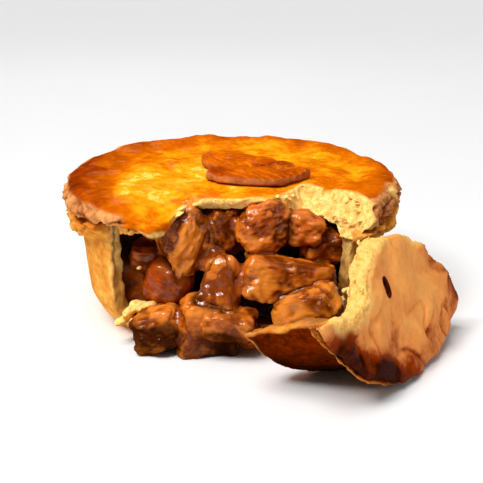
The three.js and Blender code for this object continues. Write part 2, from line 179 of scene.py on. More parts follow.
class PieFillingSettings(bpy.types.PropertyGroup):
    """Colours and surface of the meat and gravy"""

    # Dark meat and light meat also paint light and shade: shade in the folds and clefts, light on the
    # ridges.
    meat_dark: colour("Dark meat", "Meat in its folds", srgb(70, 24, 0))
    meat: colour("Meat", "Braised meat", srgb(156, 76, 8))
    meat_light: colour("Light meat", "Meat on its ridges", srgb(222, 130, 40))
    meat_pale: colour("Pale meat", "Spots where the meat is pale and pinkish", srgb(208, 124, 56))
    red: colour("Red tint", "Kidney and the reddest gravy", srgb(196, 70, 2))
    gravy: colour("Gravy", "Thick brown gravy", srgb(130, 56, 2))
    fold: length("Fold depth", "Depth of the meat's folds", 1.1)
    cling: length("Sauce width", "Half the width of the clefts that sauce fills", 1.0)
    sink: length("Sauce depth", "How deep the sauce lies under the lumps' faces", 0.5)


class PieStageSettings(bpy.types.PropertyGroup):
    """Floor and light"""

    floor: colour("Floor", "Floor under the pie", (0.86, 0.86, 0.86))
    sun: strength("Main light", "Strength of the broad light above", 2.4)
    lamp: strength("Lamp", "Power of the smaller light on the left", 1.7)
    back_light: strength("Back light", "Power of the soft light behind", 0.22)
    right_light: strength("Right light", "Power of the soft light on the right", 0.36)
    flakes: IntProperty(name="Flakes", description="Loose flakes on the broken edges", default=150, min=0)


# ---- unevenness
# The last number that noise, ridges and pores are given picks the pattern; sizes are in millimetres


def smooth(t):
    """0 up to 0, 1 from 1, and an even rise between them."""
    t = np.clip(t, 0.0, 1.0)
    return t * t * (3 - 2 * t)


def bump(t):
    """1 at 0, falling evenly to 0 at -1 and 1."""
    return smooth(1 - np.abs(t))


def blend(share, a, b):
    """a where share is 1, b where it is 0."""
    return share * a + (1 - share) * b


def lattice(cell, seed):
    """A value from -1 to 1 for each whole-numbered cell [n, 3]."""
    h = (cell[:, 0] * 73856093) ^ (cell[:, 1] * 19349663) ^ (cell[:, 2] * 83492791) ^ (seed * 40503 + 977)
    h = (h & 0xFFFFFFFF) ^ ((h & 0xFFFFFFFF) >> 15)
    h = (h * 1274126177) & 0xFFFFFFFF
    h = h ^ (h >> 13)
    return (h & 0xFFFF) / 32767.5 - 1


def noise(points, size, seed=0):
    """Smooth noise from -1 to 1 at points [n, 3]; size is one number or three."""
    q = points / np.asarray(size, float)
    base = np.floor(q).astype(np.int64)
    w = smooth(q - base)
    total = np.zeros(len(q))
    for corner in np.ndindex(2, 2, 2):
        share = np.prod([w[:, a] if corner[a] else 1 - w[:, a] for a in range(3)], axis=0)
        total += share * lattice(base + np.array(corner), seed)
    return total


def ridges(points, size, seed=0):
    """Noise with sharp crests: 1 on a crest, about -1 between crests."""
    return 1 - 3 * np.abs(noise(points, size, seed))


def pores(points, size, seed=0):
    """1 in the middle of scattered round pits, 0 between them."""
    q = points / size
    base = np.floor(q).astype(np.int64)
    nearest = np.full(len(q), 9.0)
    for step in np.ndindex(3, 3, 3):
        cell = base + np.array(step) - 1
        spot = cell + 0.5 + 0.45 * np.stack([lattice(cell, seed + a) for a in range(3)], axis=1)
        nearest = np.minimum(nearest, np.linalg.norm(q - spot, axis=1))
    return smooth((0.5 - nearest) / 0.35)


# ---- meshes


def new_object(name, data):
    """A new object in the scene, at the origin."""
    made = bpy.data.objects.new(name, data)
    bpy.context.scene.collection.objects.link(made)
    return made


def even_out(piece, steps):
    """Applies remesh (voxel size), smooth (rounds) and displace (distance) steps to a piece's mesh."""
    for kind, value in steps:
        step = piece.modifiers.new(kind.title(), kind)
        if kind == "REMESH":
            step.mode = "VOXEL"
            step.voxel_size = value
        elif kind == "SMOOTH":
            step.iterations = value
        else:
            step.strength = value
            step.mid_level = 0
    keep_modified(piece)
    piece.data.polygons.foreach_set("use_smooth", np.ones(len(piece.data.polygons), bool))


def keep_modified(piece):
    """Keeps what a piece's modifiers make of its mesh, and takes the modifiers off."""
    depsgraph = bpy.context.evaluated_depsgraph_get()
    piece.data = bpy.data.meshes.new_from_object(piece.evaluated_get(depsgraph))
    piece.modifiers.clear()


def remeshed(node, name, voxel, rounds):
    """A fine even mesh of a node's solid, its facets smoothed away."""
    piece = new_object(name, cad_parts[node].data.copy())
    piece.data.materials.clear()
    even_out(piece, (("REMESH", voxel * MM), ("SMOOTH", rounds)))
    return piece


def vectors(items, name):
    """One vector of each vertex or face, as an array [n, 3]."""
    values = np.empty(len(items) * 3)
    items.foreach_get(name, values)
    return values.reshape(-1, 3)


def places(piece):
    """A piece's vertices in millimetres, and their normals."""
    mesh = piece.data
    return vectors(mesh.vertices, "co") / MM, vectors(mesh.vertex_normals, "vector")


def move(piece, points):
    """Puts a piece's vertices at points in millimetres."""
    piece.data.vertices.foreach_set("co", (points * MM).astype(np.float32).ravel())
    piece.data.update()


def push(piece, depth):
    """Moves each vertex along its normal by depth in millimetres, but not through the table."""
    points, normals = places(piece)
    points += normals * depth[:, None]
    points[:, 2] = np.maximum(points[:, 2], CAD_BOX[0][2] / MM)
    move(piece, points)


def mark(piece, **values):
    """Keeps one number from 0 to 1 for each vertex under each name, for the materials."""
    count = len(piece.data.vertices)
    for name, value in values.items():
        layer = piece.data.attributes.new(name, "FLOAT", "POINT")
        layer.data.foreach_set("value", np.full(count, np.clip(value, 0, 1), np.float32))


def mark_grain(piece, value):
    """Keeps each vertex's place along the meat's grain, in metres."""
    layer = piece.data.attributes.new("grain", "FLOAT_VECTOR", "POINT")
    layer.data.foreach_set("vector", value.astype(np.float32).ravel())


def faces_of(node):
    """The centres in millimetres and the normals of a node's faces."""
    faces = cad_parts[node].data.polygons
    return vectors(faces, "center") / MM, vectors(faces, "normal")


def distances(corners, faces, points, reach):
    """How far each point is from a mesh that is given in metres, in millimetres up to reach."""
    tree = BVHTree.FromPolygons([corner / MM for corner in corners], faces)
    found = (tree.find_nearest(p, reach)[3] for p in points)
    return np.array([reach if d is None else d for d in found])


def distance_to_break(node, broken, points, reach=4.0):
    """How far each point is from the faces of a node that broken picks, in millimetres up to reach."""
    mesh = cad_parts[node].data
    faces = [tuple(mesh.polygons[i].vertices) for i in np.flatnonzero(broken(node))]
    return distances([v.co for v in mesh.vertices], faces, points, reach)


def finish_piece(piece, material, node=None):
    """Gives a piece its material and body, and hides the CAD node that it stands for, if any."""
    piece.data.materials.append(material)
    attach(piece, BODY)
    if node:
        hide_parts(node)


# ---- shader building


class Shader:
    """A node material built link by link around one Principled shader."""

    def __init__(self, name):
        self.material = bpy.data.materials.new(name)
        self.material.use_nodes = True
        self.tree = self.material.node_tree
        self.surface = self.tree.nodes["Principled BSDF"]

    def node(self, kind, inputs=(), **settings):
        made = self.tree.nodes.new(kind)
        for key, value in settings.items():
            setattr(made, key, value)
        for key, value in dict(inputs).items():
            self.put(made.inputs[key], value)
        return made

    def put(self, socket, value):
        if isinstance(value, bpy.types.NodeSocket):
            self.tree.links.new(value, socket)
        elif socket.type == "RGBA" and len(value) == 3:
            socket.default_value = (*value, 1)
        else:
            socket.default_value = value

    def attribute(self, name, output="Fac"):
        return self.node("ShaderNodeAttribute", attribute_name=name).outputs[output]

    def place(self):
        return self.node("ShaderNodeTexCoord").outputs["Object"]

    def edge_on(self):
        """0 where the surface is seen straight on, 1 where it is seen edge on; used for gloss alone."""
        return self.node("ShaderNodeLayerWeight", {"Blend": 0.5}).outputs["Facing"]

    def upward(self):
        """1 on what faces up, -1 on what faces down."""
        normal = self.node("ShaderNodeNewGeometry").outputs["Normal"]
        return self.node("ShaderNodeSeparateXYZ", {"Vector": normal}).outputs["Z"]

    def stretched(self, vector, scale):
        return self.node("ShaderNodeMapping", {"Vector": vector, "Scale": scale}).outputs["Vector"]

    def noise(self, vector, scale, detail=3.0, roughness=0.55):
        inputs = {"Vector": vector, "Scale": scale, "Detail": detail, "Roughness": roughness}
        return self.node("ShaderNodeTexNoise", inputs).outputs["Fac"]

    def cells(self, vector, scale):
        return self.node("ShaderNodeTexVoronoi", {"Vector": vector, "Scale": scale}).outputs["Distance"]

    def math(self, operation, a, b, c=0.5, clamp=False):
        made = self.node("ShaderNodeMath", {0: a, 1: b, 2: c}, operation=operation, use_clamp=clamp)
        return made.outputs["Value"]

    def times(self, a, b):
        return self.math("MULTIPLY", a, b)

    def plus(self, base, a, share):
        return self.math("MULTIPLY_ADD", a, share, base)

    def spread(self, value, low, high, to_low=0.0, to_high=1.0):
        """value from low..high brought to to_low..to_high."""
        inputs = {"Value": value, "From Min": low, "From Max": high, "To Min": to_low, "To Max": to_high}
        return self.node("ShaderNodeMapRange", inputs).outputs["Result"]

    def mix(self, share, a, b, blend="MIX"):
        made = self.node("ShaderNodeMix", data_type="RGBA", blend_type=blend)
        for index, value in ((0, share), (6, a), (7, b)):
            self.put(made.inputs[index], value)
        return made.outputs[2]

    def ramp(self, value, stops):
        made = self.node("ShaderNodeValToRGB", {"Fac": value})
        elements = made.color_ramp.elements
        while len(elements) < len(stops):
            elements.new(0.5)
        for element, (place, shade) in zip(elements, stops):
            element.position = place
            element.color = (*shade, 1)
        return made.outputs["Color"]

    def bump(self, height, distance, strength=1.0, over=None):
        inputs = {"Height": height, "Distance": distance * MM, "Strength": strength}
        if over is not None:
            inputs["Normal"] = over
        return self.node("ShaderNodeBump", inputs).outputs["Normal"]

    def finish(self, **inputs):
        for name, value in inputs.items():
            self.put(self.surface.inputs[name.replace("_", " ")], value)
        return self.material


# ---- materials


# Noise scales are in waves a metre: 110 makes patches of about 9 mm, and 1900 a grain of 0.5 mm


def pastry_material(name, gloss, sides=None, stops=None):
    """Pastry with a glaze, dry sides, a pale crumb where it is broken, and gravy soaked in.

    sides is the dry pastry's colour and its darker colour, which also serves as painted shade where fold is
    marked; stops are the glaze's colours as it bakes.
    """
    look = bpy.context.scene.pie_crust
    dry, dry_dark = sides or (look.side, look.side_dark)
    s = Shader(name)
    at = s.place()
    broad = s.noise(at, 110, 4)
    fine = s.noise(at, 520, 4)
    grain = s.noise(at, 1900, 2)

    baked = s.plus(s.attribute("bake"), s.spread(broad, 0.3, 0.7), 0.24)
    baked = s.plus(baked, s.spread(fine, 0.25, 0.75), 0.22)
    glazed = s.ramp(s.math("SUBTRACT", baked, 0.22, clamp=True), stops or glaze_stops(look))
    specks = s.spread(s.cells(at, 900), 0.0, 0.22, 0.75, 1.0)
    glazed = s.mix(1.0, glazed, s.ramp(specks, [(0.0, (0.62, 0.4, 0.25)), (1.0, (1, 1, 1))]), "MULTIPLY")

    dryness = s.spread(s.plus(s.times(broad, 0.6), fine, 0.5), 0.38, 0.72)
    outside = s.mix(dryness, dry_dark, dry)
    # fold paints shade: the darker dry colour in the crags, along the seam under the lid's lip, at the
    # leaves' foot, in the broken-off piece's creases and on its wall towards the table.
    outside = s.mix(s.attribute("fold"), outside, dry_dark)
    outside = s.mix(s.attribute("glaze"), outside, glazed)

    tooth = s.spread(s.plus(s.times(fine, 0.6), grain, 0.45), 0.34, 0.56)
    crumb = s.mix(tooth, look.crumb_dark, look.crumb)
    # pit paints shade in the crumb's pores and on the flakes' and crumbs' under sides; low on the case's
    # torn wall and on the broken-off piece it is a darker, more orange tone.
    crumb = s.mix(s.attribute("pit"), crumb, look.crumb_dark)
    shade = s.mix(s.attribute("crumb"), outside, crumb)
    soak = s.times(s.attribute("soak"), s.spread(broad, 0.2, 0.6, 0.55, 1.0))
    shade = s.mix(soak, shade, look.soaked)

    shine = s.times(s.attribute("glaze"), s.math("SUBTRACT", 1.0, s.attribute("crumb")))
    rough = s.plus(s.spread(fine, 0.3, 0.7, 0.66, 0.84), shine, -gloss)
    normal = s.bump(fine, 0.5, 0.5)
    normal = s.bump(grain, 0.16, s.spread(shine, 0.0, 1.0, 0.7, 0.22), over=normal)
    coat = s.times(shine, s.spread(s.edge_on(), 0.55, 0.92, 0.085, 0.02))
    return s.finish(
        Base_Color=shade, Roughness=rough, Normal=normal, IOR=1.4, Specular_IOR_Level=0.0,
        Coat_Weight=coat, Coat_Roughness=0.13, Coat_IOR=1.4,
        Subsurface_Weight=0.05, Subsurface_Radius=(1.0, 0.5, 0.2), Subsurface_Scale=0.0015,
    )


def glaze_stops(look):
    """The egg wash's colours as it bakes, from the palest to the darkest."""
    dark = [c * 0.4 for c in look.brown]
    # The palest stop is partly painted highlight, on the lid's brightest patches.
    return [(0.0, look.thin_wash_and_sheen), (0.05, look.gold), (0.33, look.orange), (0.7, look.brown), (1.0, dark)]


def meat_material():
    """Braised meat: fibres along its grain under wet gravy, with painted light on its ridges and painted
    shade in its folds and clefts.
    """
    look = bpy.context.scene.pie_filling
    s = Shader("braised meat")
    grain = s.attribute("grain", "Vector")
    fibres = s.noise(s.stretched(grain, (0.22, 1.0, 1.0)), 900, 4)
    strands = s.noise(s.stretched(grain, (0.3, 1.0, 1.0)), 300, 3)
    patches = s.noise(grain, 130, 3)
    blots = s.noise(grain, 330, 4)

    # This mark paints light on the lumps' crests and shade in their folds; gravy colour gathers where it is
    # low.
    height = s.plus(s.times(s.attribute("ridge"), 1.15), fibres, 0.6)
    height = s.plus(height, s.attribute("light"), 0.5)
    height = s.plus(height, strands, 0.35)
    height = s.plus(s.math("SUBTRACT", height, 1.06), patches, 0.6)
    shade = s.ramp(height, [
        (0.0, [c * 0.3 for c in look.meat_dark]), (0.3, look.meat_dark),
        (0.58, look.meat), (1.0, look.meat_light),
    ])
    redness = s.times(s.attribute("red"), s.spread(patches, 0.35, 0.65, 0.15, 0.9))
    shade = s.mix(redness, shade, look.red)
    sauce = s.spread(s.plus(s.attribute("ridge"), blots, 0.8), 1.05, 0.6)
    shade = s.mix(s.times(sauce, 0.7), shade, look.gravy)
    shade = s.mix(s.times(s.spread(blots, 0.56, 0.7), 0.4), shade, look.meat_pale)
    # Painted shade: near black where lumps touch, deep in the sauce between them and under the spilled
    # lumps.
    dark = s.times(s.attribute("cleft"), s.spread(blots, 0.25, 0.75, 1.0, 0.8))
    shade = s.mix(dark, shade, [c * 0.2 for c in look.meat_dark])

    rough = s.spread(strands, 0.3, 0.7, 0.3, 0.5)
    normal = s.bump(strands, 0.6, 0.85)
    normal = s.bump(fibres, 0.3, 0.75, over=normal)
    wet = s.bump(s.noise(grain, 300, 3), 0.6, 0.55)
    coat = s.plus(1.0, s.attribute("cleft"), -0.95)
    coat = s.times(coat, s.spread(s.edge_on(), 0.62, 0.95, 1.0, 0.08))
    coat = s.times(coat, s.spread(s.upward(), -0.4, 0.3, 0.1, 1.0))
    return s.finish(
        Base_Color=shade, Roughness=rough, Normal=normal, IOR=1.4, Specular_IOR_Level=0.0,
        Coat_Weight=coat, Coat_Roughness=0.17, Coat_IOR=1.45, Coat_Normal=wet,
        Subsurface_Weight=0.05, Subsurface_Radius=(1.0, 0.35, 0.12), Subsurface_Scale=0.002,
    )


def gravy_material():
    """Thick gravy with shreds in it."""
    look = bpy.context.scene.pie_filling
    s = Shader("gravy")
    at = s.place()
    lumps = s.noise(at, 190, 4)
    fine = s.noise(at, 700, 3)
    shade = s.ramp(lumps, [(0.3, [c * 0.3 for c in look.gravy]), (0.52, look.gravy), (0.75, look.meat)])
    # deep paints shade: the gravy goes near black behind the meat and high up.
    shade = s.mix(s.attribute("deep"), shade, [c * 0.1 for c in look.gravy])
    normal = s.bump(fine, 0.35, 0.6)
    return s.finish(
        Base_Color=shade, Roughness=s.spread(fine, 0.3, 0.7, 0.25, 0.45), Normal=normal,
        IOR=1.4, Specular_IOR_Level=0.05, Coat_Weight=0.12, Coat_Roughness=0.09,
    )


def plain_material(name, shade, roughness):
    """One colour, with a little change in its roughness."""
    s = Shader(name)
    tone = s.noise(s.place(), 14, 2)
    rough = s.spread(tone, 0.3, 0.7, roughness - 0.04, roughness + 0.04)
    return s.finish(Base_Color=shade, Roughness=rough)


# ---- the pie's crust


def turned(points, middle, angle):
    """How far each point lies from a middle, seen from above: along an angle, and to the left of it."""
    x, y = points[:, 0] - middle[0], points[:, 1] - middle[1]
    c, s = math.cos(angle), math.sin(angle)
    return x * c + y * s, y * c - x * s


def outward(points, normals):
    """Distance from the pie's axis, and how far each normal points away from it, from -1 to 1."""
    x, y, _ = points.T
    radius = np.hypot(x, y)
    return radius, (x * normals[:, 0] + y * normals[:, 1]) / np.maximum(radius, 1)


def broken_front(node):
    """Which of a node's faces belong to the break at the pie's front."""
    centres, normals = faces_of(node)
    radius, away = outward(centres, normals)
    facing = (normals[:, 1] < -0.15) & (np.abs(normals[:, 2]) < 0.75) & (centres[:, 1] < -12)
    return facing & ((radius < BROKEN_WITHIN[node]) | (away < 0.72))


def crumb_relief(points, share=1.0):
    """Height of a broken face, as a share of the set depth, and its pits."""
    depth = share * bpy.context.scene.pie_crust.crumb_depth / MM
    patchy = smooth(noise(points, 5.5, 44) / 0.5)
    pit = pores(points, 2.9, 40) * patchy + 0.7 * pores(points, 1.5, 45) * (1 - patchy)
    layers = noise(points, (3.4, 3.4, 1.2), 41)
    rough = 0.6 * layers + 0.6 * noise(points, 2.4, 42) + 0.35 * noise(points, 1.1, 43)
    return depth * (rough - 0.75 * pit), pit


def rim_relief(points):
    """Height of the rim's crags, with cracks that run along the rim."""
    depth = bpy.context.scene.pie_crust.crag / MM
    crags = 0.55 * ridges(points, 7.0, 50) + 0.6 * noise(points, 3.6, 51) - 0.7 * pores(points, 4.2, 54)
    cracks = -1.1 * bump(noise(points, (9.0, 9.0, 2.6), 52) / 0.16)
    return depth * (crags + cracks + 0.3 * noise(points, 1.5, 53) - 0.45)


def dress_case(piece):
    """Crumb on the case's broken edge, crags on its lip with painted shade in them and along the seam under
    the lid, gravy soaked in, and a dark glazed floor.
    """
    points, normals = places(piece)
    z, up = points[:, 2], normals[:, 2]
    radius, away = outward(points, normals)
    torn = distance_to_break("pie_case", broken_front, points)
    crumb = 1 - smooth((torn - 0.5) / 1.1)
    rim = smooth((radius - WALL_RADIUS - 0.3) / 2.5)
    inside = smooth((-away - 0.1) / 0.4) * smooth((z - 1) / 2)
    inside = np.maximum(inside, smooth((up - 0.5) / 0.3) * smooth((50 - radius) / 2))
    inside = inside * (0.45 + 0.55 * smooth((torn - 1.5) / 2))
    floor = smooth((up + 0.1) / 0.3) * smooth((47 - radius) / 3) * smooth((14 - z) / 3)

    relief, pit = crumb_relief(points)
    crags = rim_relief(points)
    wall = 0.22 * noise(points, 8.0, 60) + 0.12 * noise(points, 3.0, 61) - 0.25 * pores(points, 6.0, 62)
    off_table = smooth(z / 2.5)
    push(piece, blend(crumb, relief, blend(rim, crags, wall)) * off_table)

    upright = smooth((z - 20) / 18)
    # This term darkens the glaze in a band low on the case; only the glazed floor inside shows it.
    low_band = smooth((z - 1) / 14) * 0.5
    mark(
        piece,
        bake=0.2 + 0.4 * (1 - upright) * low_band + 0.2 * noise(points, 14, 63) + floor,
        glaze=floor,
        crumb=crumb * smooth((53.0 - radius + 0.4 * noise(points, 3, 64)) / 0.7) * (1 - floor),
        # pit: painted shade in the crumb's pores, and a darker, more orange crumb towards the bottom of the
        # torn wall.
        pit=crumb * np.maximum(pit, 0.7 * smooth((32 - z + 5 * noise(points, 4, 59)) / 10)),
        # fold: painted shade in the lip's crags and on the case's lip above CASE_LIP_Z, along the seam
        # under the lid.
        fold=rim * np.maximum(smooth((-0.4 - crags) / 0.8), smooth((z - CASE_LIP_Z) / 0.8)),
        soak=np.maximum(inside, crumb * case_soak(points)) * (1 - floor),
    )


def case_soak(points):
    """Gravy in the wall's broken edge: up to a dark line on the left, and low down on the right."""
    x, y, z = points.T
    radius = np.hypot(x, y) + 0.7 * noise(points, 5, 65)
    inner = smooth((52.4 - radius) / 1.2)
    line = bump((radius - 51.1) / 0.7)
    high = smooth((z - 6) / 5)
    left = smooth((10 - x) / 20)
    right = 0.75 * smooth((x - 20) / 8) * smooth((33 - z + 3 * noise(points, 4, 58)) / 6)
    streaks = smooth(0.5 + 0.9 * noise(points, (1.6, 1.6, 6), 68))
    darkening = (0.05 + 0.95 * left) * np.maximum(inner * (0.12 + 0.55 * streaks), line)
    return high * np.maximum(darkening, right * (0.45 + 0.55 * streaks))


def dress_lid(piece):
    """Crumb on the lid's torn edge, crags on its rim with painted shade in them and under its lip, and an
    egg wash over a gently blistered top.
    """
    points, normals = places(piece)
    x, _, z = points.T
    up = normals[:, 2]
    radius, _ = outward(points, normals)
    torn = distance_to_break("pie_lid", broken_front, points)
    under = smooth((-up - 0.7) / 0.2) * smooth((56 - radius) / 3)
    crumb = lid_crumb(points, radius, torn) * (1 - under)
    edge = smooth((radius - RIM_INSIDE) / 3) * smooth((0.75 - up) / 0.4)
    edge = np.maximum(edge, smooth((CRUMB_FROM_X - x) / 2) * (1 - smooth((torn - 0.5) / 2)))
    tongue = smooth((x - CRUMB_FROM_X) / 2) * smooth((TONGUE_TO_X - x) / 3)

    relief, pit = crumb_relief(points)
    flaky = smooth((x + 39) / 2) * smooth((-28 - x) / 3)
    layers = 0.7 * noise(points, (2.4, 2.4, 0.9), 69) + 0.5 * noise(points, (1.2, 1.2, 3), 65)
    relief = relief + flaky * layers
    crags = rim_relief(points)
    swell = 0.7 * noise(points, 11, 70) + 0.24 * noise(points, 4.6, 71) + 0.07 * noise(points, 1.8, 72)
    blisters = 0.35 * pores(points, 7.5, 73)
    push(piece, blend(crumb, relief, blend(edge, crags, swell + blisters)))
    hang_down(piece)

    top = smooth((up - 0.45 + 0.2 * noise(points, 3.5, 74)) / 0.25)
    right = turned_to(points, -22, 45)
    washed = 58.6 - 4.6 * right - radius + 1.2 * noise(points, 5, 75)
    glaze = top * smooth(washed / 1.5) * (1 - 0.8 * edge)
    glaze = np.maximum(glaze, tongue * (1 - under))
    mark(
        piece,
        bake=lid_bake(points, radius),
        glaze=glaze,
        crumb=crumb,
        # pit: painted shade in the crumb's pores.
        pit=pit * crumb,
        # fold: painted shade in the rim's crags and below LID_LIP_Z, along the seam under the rim's lip.
        fold=edge * np.maximum(smooth((-0.45 - crags) / 0.8), smooth((LID_LIP_Z - z) / 1.0)),
        soak=under,
    )


def hang_down(piece):
    """Lowers the lid's under side at the right of the break, where its crumb hangs into the opening."""
    points, _ = places(piece)
    x, y, z = points.T
    here = smooth((x - SLANT_FROM_X) / 6) * smooth((41 - x) / 3)
    here = here * smooth((-8 - y) / 8) * smooth((49.0 - z) / 4)
    points[:, 2] -= CRUMB_DROP * here
    move(piece, points)


def lid_crumb(points, radius, torn):
    """The lid's crumb shows on its broken faces, and widely on the right, where it is torn at a slant."""
    x, y, z = points.T
    face = 1 - smooth((torn - 0.4) / 1.3)
    glazed_over = smooth((TONGUE_TO_X - x) / 3) * smooth((z - 40.4 + noise(points, 2.4, 66)) / 1.2)
    face = face * (1 - glazed_over)
    edge = np.interp(x, LID_TOP_EDGE[:, 0], LID_TOP_EDGE[:, 1])
    ragged = 1.0 * noise(points, 2.6, 78) + 0.5 * noise(points, 1.2, 79)
    slant = smooth((edge - y + ragged) / 0.8) * smooth((x - SLANT_FROM_X) / 2)
    slant = slant * smooth((56.2 - radius + ragged) / 1.2)
    return np.maximum(face, slant) * smooth((x - CRUMB_FROM_X) / 2)


def turned_to(points, bearing, spread):
    """1 on the side of the pie that lies at a bearing in degrees from +X, 0 further than spread from it."""
    angle = np.degrees(np.arctan2(points[:, 1], points[:, 0]))
    return bump(((angle - bearing + 180) % 360 - 180) / spread)


def lid_bake(points, radius):
    """The glaze is darkest along the rim, and palest left of the middle."""
    x, y, _ = points.T
    ring = smooth((radius - 40) / 15)
    left = smooth((-x - 34 + 3 * noise(points, 7, 67)) / 9) * turned_to(points, 190, 60)
    pale = bump(np.hypot(x + 22, y + 20) / 42)
    middle = bump((x + 10) / 12) * bump((y + 26) / 14)
    streaks = 0.13 * noise(points, (6, 15, 8), 76) + 0.08 * noise(points, 3.2, 77)
    return 0.23 + 0.22 * ring + 0.34 * left - 0.17 * pale + 0.16 * middle + streaks


# ---- the piece that came off


def piece_frame():
    """The piece's own axes, as rows: X across it, Y away from its rim and Z out of its face."""
    across = Vector((math.cos(PIECE_FACING), math.sin(PIECE_FACING), 0))
    face = Vector((across.y, -across.x, 0)) * math.cos(PIECE_LEAN) + Vector((0, 0, math.sin(PIECE_LEAN)))
    up = face.cross(across)
    return np.array([across, up, face])


def in_piece(points, normals):
    """Points and normals in the piece's own axes."""
    turn = piece_frame()
    return (points - np.array(PIECE_MIDDLE)) @ turn.T, normals @ turn.T


def broken_piece(node):
    """Which faces of the piece that came off are torn ones; those round its slit aren't."""
    centres, normals = in_piece(*faces_of(node))
    _, away = outward(centres, normals)
    edge = (normals[:, 1] > 0.12) & (np.abs(normals[:, 2]) < 0.8) & (away > -0.8)
    if node == "piece_wall":
        return edge | (normals[:, 2] < -0.5)
    return edge & (np.hypot(*turned(centres, PIECE_SLIT, 0)) > 4.5)


def dress_piece_lid(piece):
    """Wrinkled pale glaze that browns towards the rim, with crumb along the torn edge; painted shade
    darkens its creases, its lower rim and its dark slit.
    """
    points, normals = places(piece)
    own, own_normals = in_piece(points, normals)
    x, y, z = own.T
    up = own_normals[:, 2]
    radius, _ = outward(own, own_normals)
    torn = distance_to_break("piece_lid", broken_piece, points, 8.0)
    low_left = smooth((-20 - x) / 8) * smooth((-14 - y) / 10)
    width = 2.2 + (3.4 + 1.5 * noise(own, 2.5, 94)) * low_left
    crumb = (1 - smooth((torn - 0.6) / width)) * (1 - 0.95 * smooth((x - 12 + 3 * noise(own, 4, 87)) / 6))
    under = smooth((-up - 0.3) / 0.3) * smooth((50 - radius) / 3)
    edge = smooth((radius - 52) / 4) * smooth((0.8 - up) / 0.4)
    crumb = crumb * (1 - 0.9 * smooth((radius - 53) / 1.5))

    relief, pit = crumb_relief(points)
    angle = np.degrees(np.arctan2(x, -y))
    bent = angle + 5 * noise(own, 12, 80)
    folds = -0.75 * bump(noise(np.stack([bent, radius / 5, z], 1), (9.0, 2.2, 20), 81) / 0.2)
    folds = folds * smooth((radius - 28) / 16)
    swell = 0.75 * noise(own, 10, 82) + 0.35 * noise(own, 4.5, 83) + 0.1 * noise(own, 1.7, 84)
    crags = 0.6 * rim_relief(points)
    push(piece, blend(crumb, relief, blend(edge, crags, swell + folds)))

    rim = smooth((radius - 42 + 3 * noise(own, 5, 85)) / 10) * smooth((angle + 66) / 14)
    side = smooth((0.7 - up) / 0.4) * smooth((radius - 50) / 3)
    low = smooth((radius - 49.4 + 2 * noise(own, 5, 88)) / 6)
    low = low * smooth((4 - angle) / 30) * smooth((angle + 57) / 10)
    tanned = smooth((4.5 - torn + 2 * noise(own, 3, 89)) / 3.5) * smooth((x - 9) / 6)
    slit = slit_depth(own)
    # These terms darken the bake: low and slit are painted shade, on the lower rim turned towards the table
    # and in the slit; side darkens the rim's edge, and tanned browns the crust by the torn edge on the
    # right.
    darkening = 0.06 * side + 0.62 * low + 0.26 * tanned + 2 * slit
    mark(
        piece,
        # bake: the creases (folds below 0) are darkened as painted shade.
        bake=0.06 + 0.28 * rim + 0.1 * noise(own, 7, 86) - 0.26 * folds + darkening,
        glaze=1 - under,
        crumb=crumb * (1 - slit),
        pit=crumb * np.maximum(pit, 0.34),
        # fold: painted shade in the creases.
        fold=smooth(-folds / 0.5),
        soak=under,
    )


def slit_depth(own):
    """1 in the slit that lets the steam out, 0 away from it."""
    across, along = turned(own, PIECE_SLIT, PIECE_SLIT_TURN)
    return 1 - smooth((np.hypot(across / PIECE_SLIT_HALF[0], along / PIECE_SLIT_HALF[1]) - 0.85) / 0.3)


def dress_piece_wall(piece):
    """Brown wall, darkened towards the table as painted shade, with a thin pale torn edge."""
    points, normals = places(piece)
    own, own_normals = in_piece(points, normals)
    radius, away = outward(own, own_normals)
    torn = distance_to_break("piece_wall", broken_piece, points)
    crumb = 1 - smooth((torn - 0.3) / 0.9)
    inside = smooth((-away - 0.2) / 0.4)
    rim = smooth((radius - 52.4) / 2.4)

    relief, pit = crumb_relief(points, 0.7)
    crags = 0.7 * rim_relief(points)
    wall = 0.25 * noise(own, 7, 90) + 0.12 * noise(own, 2.6, 91)
    push(piece, blend(crumb, relief, blend(rim, crags, wall)))

    mark(
        piece,
        bake=0.42 + 0.2 * noise(own, 3, 93),
        glaze=0.85 * crumb,
        crumb=crumb * 0.22,
        pit=pit * crumb,
        # fold: painted shade towards the table.
        fold=smooth((24 - points[:, 2] + 3 * noise(own, 8, 92)) / 20) * (1 - 0.6 * rim),
        soak=0.6 * inside,
    )


# ---- leaves, meat and gravy


# The middle of each pastry leaf and its turn in degrees
LEAVES = {"leaf_front": ((8.0, -13.5), 8), "leaf_back": ((4.5, 4.5), -24)}
LEAF_LENGTH = 35.0
VEINS = 8.5  # side veins along the leaf


def dress_leaf(piece, node):
    """A pressed-in rib and side veins on a leaf's top."""
    middle, turn = LEAVES[node]
    points, normals = places(piece)
    along, side = turned(points, middle, math.radians(turn))
    top = smooth((normals[:, 2] - 0.2) / 0.4)
    rib = bump(side / 1.1)
    slope = along / LEAF_LENGTH * VEINS - np.abs(side) * 0.3
    veins = bump((slope - np.round(slope)) / 0.16) * smooth((np.abs(side) - 0.9) / 1.0)
    swell = 0.3 * noise(points, 5, 100) + 0.12 * noise(points, 2, 101)
    push(piece, swell - top * (0.7 * rib + 0.55 * veins))
    low = smooth((PIE_HEIGHT + 2.0 - points[:, 2]) / 2)
    mark(
        piece,
        bake=0.52 + 0.2 * noise(points, 5, 102) - 0.22 * np.maximum(rib, veins) + 0.15 * (1 - top),
        glaze=0.35 + 0.65 * top,
        crumb=0,
        pit=0,
        # fold: painted shade on the leaf's sides at its foot, where it meets the lid.
        fold=low * (1 - top),
        soak=0,
    )


